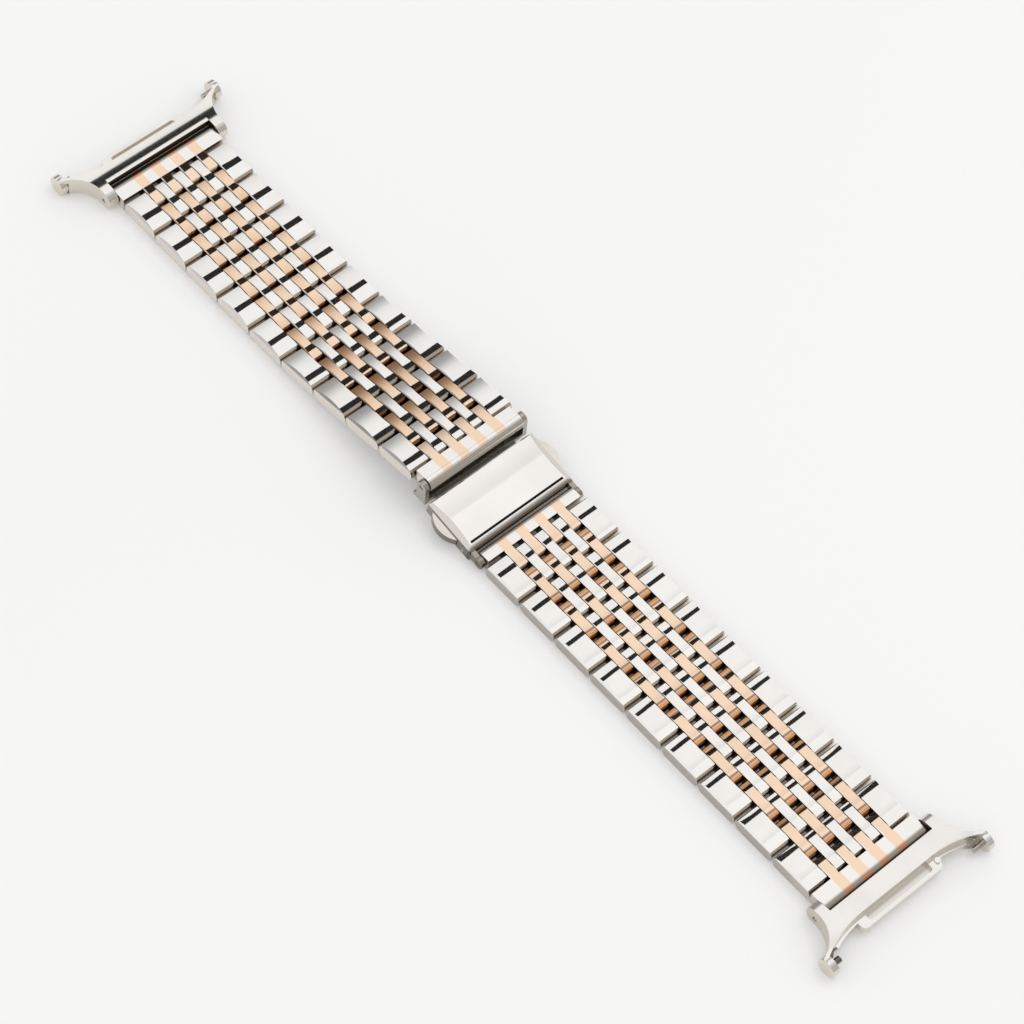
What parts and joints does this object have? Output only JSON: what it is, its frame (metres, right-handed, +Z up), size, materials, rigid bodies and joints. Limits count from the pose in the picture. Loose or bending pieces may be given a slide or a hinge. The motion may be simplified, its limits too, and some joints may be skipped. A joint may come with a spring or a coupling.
{
  "type": "watch bracelet",
  "caption": "Two-tone steel watch bracelet of staggered pinned blocks with a folding push-button clasp and winged case adaptors.",
  "frame": {"origin": "centre of the bounding box at the surface the bracelet lies on", "axes": "+X along the bracelet from side a, which folds over the blades, to side b, +Y across it, +Z up, outer face up"},
  "size_m": [0.1794, 0.032, 0.0076],
  "materials": {
    "rose_gold": "polished rose gold plating",
    "polished_steel": "mirror polished steel tops, satin sides",
    "striped_link": "polished steel, rose gold plated in the four rose columns",
    "cover_steel": "mirror polished steel",
    "pin_steel": "turned steel",
    "blade_steel": "brushed steel",
    "button_steel": "satin steel",
    "adaptor_steel": "satin and polished steel"
  },
  "bodies": {
    "outer_blade": {"outer_blade": "blade_steel", "fold_pin": "pin_steel"},
    "inner_blade": {"inner_blade": "blade_steel", "clasp_bar_a": "pin_steel"},
    "cover": {"clasp_cover": "cover_steel", "cover_pin": "pin_steel", "clasp_bar_b": "pin_steel"},
    "button_left": {"button_left": "button_steel"},
    "button_right": {"button_right": "button_steel"},
    "clasp_link_a": {"clasp_link_a": "striped_link"},
    "steel_row_a1": {"steel_row_a1": "polished_steel"},
    "steel_row_a2": {"steel_row_a2": "polished_steel"},
    "steel_row_a3": {"steel_row_a3": "polished_steel"},
    "steel_row_a4": {"steel_row_a4": "polished_steel"},
    "steel_row_a5": {"steel_row_a5": "polished_steel"},
    "steel_row_a6": {"steel_row_a6": "polished_steel"},
    "steel_row_a7": {"steel_row_a7": "polished_steel"},
    "steel_row_a8": {"steel_row_a8": "polished_steel"},
    "steel_row_a9": {"steel_row_a9": "polished_steel"},
    "rose_row_a1": {"rose_row_a1": "rose_gold"},
    "rose_row_a2": {"rose_row_a2": "rose_gold"},
    "rose_row_a3": {"rose_row_a3": "rose_gold"},
    "rose_row_a4": {"rose_row_a4": "rose_gold"},
    "rose_row_a5": {"rose_row_a5": "rose_gold"},
    "rose_row_a6": {"rose_row_a6": "rose_gold"},
    "rose_row_a7": {"rose_row_a7": "rose_gold"},
    "rose_row_a8": {"rose_row_a8": "rose_gold"},
    "adaptor_link_a": {"adaptor_link_a": "striped_link"},
    "adaptor_a": {"adaptor_a": "adaptor_steel", "adaptor_bar_a": "pin_steel"},
    "clasp_link_b": {"clasp_link_b": "striped_link"},
    "steel_row_b1": {"steel_row_b1": "polished_steel"},
    "steel_row_b2": {"steel_row_b2": "polished_steel"},
    "steel_row_b3": {"steel_row_b3": "polished_steel"},
    "steel_row_b4": {"steel_row_b4": "polished_steel"},
    "steel_row_b5": {"steel_row_b5": "polished_steel"},
    "steel_row_b6": {"steel_row_b6": "polished_steel"},
    "steel_row_b7": {"steel_row_b7": "polished_steel"},
    "steel_row_b8": {"steel_row_b8": "polished_steel"},
    "steel_row_b9": {"steel_row_b9": "polished_steel"},
    "rose_row_b1": {"rose_row_b1": "rose_gold"},
    "rose_row_b2": {"rose_row_b2": "rose_gold"},
    "rose_row_b3": {"rose_row_b3": "rose_gold"},
    "rose_row_b4": {"rose_row_b4": "rose_gold"},
    "rose_row_b5": {"rose_row_b5": "rose_gold"},
    "rose_row_b6": {"rose_row_b6": "rose_gold"},
    "rose_row_b7": {"rose_row_b7": "rose_gold"},
    "rose_row_b8": {"rose_row_b8": "rose_gold"},
    "adaptor_link_b": {"adaptor_link_b": "striped_link"},
    "adaptor_b": {"adaptor_b": "adaptor_steel", "adaptor_bar_b": "pin_steel"}
  },
  "joints": [
    {"name": "cover_hinge", "type": "hinge", "parent": "outer_blade", "child": "cover", "pos_m": [0.0034, 0, 0.0012], "axis": [0, 1, 0], "range_deg": [0, 100]},
    {"name": "fold_hinge", "type": "hinge", "parent": "outer_blade", "child": "inner_blade", "pos_m": [-0.0216, 0, 0.0012], "axis": [0, -1, 0], "range_deg": [0, 160]},
    {"name": "button_left_press", "type": "slide", "parent": "cover", "child": "button_left", "axis": [0, 1, 0], "range_m": [0, 0.0008], "stiffness_N_per_m": 400, "springref_m": -0.0005},
    {"name": "button_right_press", "type": "slide", "parent": "cover", "child": "button_right", "axis": [0, -1, 0], "range_m": [0, 0.0008], "stiffness_N_per_m": 400, "springref_m": -0.0005},
    {"name": "clasp_bar_a_hinge", "type": "hinge", "parent": "inner_blade", "child": "clasp_link_a", "pos_m": [-0.0064, 0, 0.0063], "axis": [0, 1, 0], "range_deg": [0, 150]},
    {"name": "clasp_bar_b_hinge", "type": "hinge", "parent": "cover", "child": "clasp_link_b", "pos_m": [0.00685, 0, 0.0013], "axis": [0, -1, 0], "range_deg": [-25, 30]},
    {"name": "adaptor_a_hinge", "type": "hinge", "parent": "adaptor_link_a", "child": "adaptor_a", "pos_m": [-0.08145, 0, 0.0013], "axis": [0, 1, 0], "range_deg": [-30, 20]},
    {"name": "adaptor_b_hinge", "type": "hinge", "parent": "adaptor_link_b", "child": "adaptor_b", "pos_m": [0.08145, 0, 0.0013], "axis": [0, -1, 0], "range_deg": [-30, 20]},
    {"name": "link_a1_hinge", "type": "hinge", "parent": "clasp_link_a", "child": "steel_row_a1", "pos_m": [-0.01063, 0, 0.00586], "axis": [0, 1, 0], "range_deg": [0, 5.77]},
    {"name": "link_a2_hinge", "type": "hinge", "parent": "steel_row_a1", "child": "rose_row_a1", "pos_m": [-0.01449, 0, 0.00534], "axis": [0, 1, 0], "range_deg": [0, 5.18]},
    {"name": "link_a3_hinge", "type": "hinge", "parent": "rose_row_a1", "child": "steel_row_a2", "pos_m": [-0.01835, 0, 0.00475], "axis": [0, 1, 0], "range_deg": [0, 4.98]},
    {"name": "link_a4_hinge", "type": "hinge", "parent": "steel_row_a2", "child": "rose_row_a2", "pos_m": [-0.02219, 0, 0.00408], "axis": [0, 1, 0], "range_deg": [-4, 4]},
    {"name": "link_a5_hinge", "type": "hinge", "parent": "rose_row_a2", "child": "steel_row_a3", "pos_m": [-0.02603, 0, 0.00342], "axis": [0, 1, 0], "range_deg": [-9.49, 3.51]},
    {"name": "link_a6_hinge", "type": "hinge", "parent": "steel_row_a3", "child": "rose_row_a3", "pos_m": [-0.02988, 0, 0.00279], "axis": [0, 1, 0], "range_deg": [-9.98, 3.02]},
    {"name": "link_a7_hinge", "type": "hinge", "parent": "rose_row_a3", "child": "steel_row_a4", "pos_m": [-0.03374, 0, 0.00222], "axis": [0, 1, 0], "range_deg": [-10.67, 2.33]},
    {"name": "link_a8_hinge", "type": "hinge", "parent": "steel_row_a4", "child": "rose_row_a4", "pos_m": [-0.03761, 0, 0.00177], "axis": [0, 1, 0], "range_deg": [-11.26, 1.74]},
    {"name": "link_a9_hinge", "type": "hinge", "parent": "rose_row_a4", "child": "steel_row_a5", "pos_m": [-0.0415, 0, 0.00147], "axis": [0, 1, 0], "range_deg": [-11.45, 1.55]},
    {"name": "link_a10_hinge", "type": "hinge", "parent": "steel_row_a5", "child": "rose_row_a5", "pos_m": [-0.0454, 0, 0.00133], "axis": [0, 1, 0], "range_deg": [-10.47, 2.53]},
    {"name": "link_a11_hinge", "type": "hinge", "parent": "rose_row_a5", "child": "steel_row_a6", "pos_m": [-0.0493, 0, 0.0013], "axis": [0, 1, 0], "range_deg": [-9.49, 3.51]},
    {"name": "link_a12_hinge", "type": "hinge", "parent": "steel_row_a6", "child": "rose_row_a6", "pos_m": [-0.0532, 0, 0.0013], "axis": [0, 1, 0], "range_deg": [-9, 4]},
    {"name": "link_a13_hinge", "type": "hinge", "parent": "rose_row_a6", "child": "steel_row_a7", "pos_m": [-0.0571, 0, 0.0013], "axis": [0, 1, 0], "range_deg": [-9, 4]},
    {"name": "link_a14_hinge", "type": "hinge", "parent": "steel_row_a7", "child": "rose_row_a7", "pos_m": [-0.061, 0, 0.0013], "axis": [0, 1, 0], "range_deg": [-9, 4]},
    {"name": "link_a15_hinge", "type": "hinge", "parent": "rose_row_a7", "child": "steel_row_a8", "pos_m": [-0.0649, 0, 0.0013], "axis": [0, 1, 0], "range_deg": [-9, 4]},
    {"name": "link_a16_hinge", "type": "hinge", "parent": "steel_row_a8", "child": "rose_row_a8", "pos_m": [-0.0688, 0, 0.0013], "axis": [0, 1, 0], "range_deg": [-9, 4]},
    {"name": "link_a17_hinge", "type": "hinge", "parent": "rose_row_a8", "child": "steel_row_a9", "pos_m": [-0.0727, 0, 0.0013], "axis": [0, 1, 0], "range_deg": [-9, 4]},
    {"name": "link_a18_hinge", "type": "hinge", "parent": "steel_row_a9", "child": "adaptor_link_a", "pos_m": [-0.0766, 0, 0.0013], "axis": [0, 1, 0], "range_deg": [-9, 4]},
    {"name": "link_b1_hinge", "type": "hinge", "parent": "clasp_link_b", "child": "steel_row_b1", "pos_m": [0.0103, 0, 0.0013], "axis": [0, -1, 0], "range_deg": [-9, 4]},
    {"name": "link_b2_hinge", "type": "hinge", "parent": "steel_row_b1", "child": "rose_row_b1", "pos_m": [0.0142, 0, 0.0013], "axis": [0, -1, 0], "range_deg": [-9, 4]},
    {"name": "link_b3_hinge", "type": "hinge", "parent": "rose_row_b1", "child": "steel_row_b2", "pos_m": [0.0181, 0, 0.0013], "axis": [0, -1, 0], "range_deg": [-9, 4]},
    {"name": "link_b4_hinge", "type": "hinge", "parent": "steel_row_b2", "child": "rose_row_b2", "pos_m": [0.022, 0, 0.0013], "axis": [0, -1, 0], "range_deg": [-9, 4]},
    {"name": "link_b5_hinge", "type": "hinge", "parent": "rose_row_b2", "child": "steel_row_b3", "pos_m": [0.0259, 0, 0.0013], "axis": [0, -1, 0], "range_deg": [-9, 4]},
    {"name": "link_b6_hinge", "type": "hinge", "parent": "steel_row_b3", "child": "rose_row_b3", "pos_m": [0.0298, 0, 0.0013], "axis": [0, -1, 0], "range_deg": [-9, 4]},
    {"name": "link_b7_hinge", "type": "hinge", "parent": "rose_row_b3", "child": "steel_row_b4", "pos_m": [0.0337, 0, 0.0013], "axis": [0, -1, 0], "range_deg": [-9, 4]},
    {"name": "link_b8_hinge", "type": "hinge", "parent": "steel_row_b4", "child": "rose_row_b4", "pos_m": [0.0376, 0, 0.0013], "axis": [0, -1, 0], "range_deg": [-9, 4]},
    {"name": "link_b9_hinge", "type": "hinge", "parent": "rose_row_b4", "child": "steel_row_b5", "pos_m": [0.0415, 0, 0.0013], "axis": [0, -1, 0], "range_deg": [-9, 4]},
    {"name": "link_b10_hinge", "type": "hinge", "parent": "steel_row_b5", "child": "rose_row_b5", "pos_m": [0.0454, 0, 0.0013], "axis": [0, -1, 0], "range_deg": [-9, 4]},
    {"name": "link_b11_hinge", "type": "hinge", "parent": "rose_row_b5", "child": "steel_row_b6", "pos_m": [0.0493, 0, 0.0013], "axis": [0, -1, 0], "range_deg": [-9, 4]},
    {"name": "link_b12_hinge", "type": "hinge", "parent": "steel_row_b6", "child": "rose_row_b6", "pos_m": [0.0532, 0, 0.0013], "axis": [0, -1, 0], "range_deg": [-9, 4]},
    {"name": "link_b13_hinge", "type": "hinge", "parent": "rose_row_b6", "child": "steel_row_b7", "pos_m": [0.0571, 0, 0.0013], "axis": [0, -1, 0], "range_deg": [-9, 4]},
    {"name": "link_b14_hinge", "type": "hinge", "parent": "steel_row_b7", "child": "rose_row_b7", "pos_m": [0.061, 0, 0.0013], "axis": [0, -1, 0], "range_deg": [-9, 4]},
    {"name": "link_b15_hinge", "type": "hinge", "parent": "rose_row_b7", "child": "steel_row_b8", "pos_m": [0.0649, 0, 0.0013], "axis": [0, -1, 0], "range_deg": [-9, 4]},
    {"name": "link_b16_hinge", "type": "hinge", "parent": "steel_row_b8", "child": "rose_row_b8", "pos_m": [0.0688, 0, 0.0013], "axis": [0, -1, 0], "range_deg": [-9, 4]},
    {"name": "link_b17_hinge", "type": "hinge", "parent": "rose_row_b8", "child": "steel_row_b9", "pos_m": [0.0727, 0, 0.0013], "axis": [0, -1, 0], "range_deg": [-9, 4]},
    {"name": "link_b18_hinge", "type": "hinge", "parent": "steel_row_b9", "child": "adaptor_link_b", "pos_m": [0.0766, 0, 0.0013], "axis": [0, -1, 0], "range_deg": [-9, 4]}
  ]
}
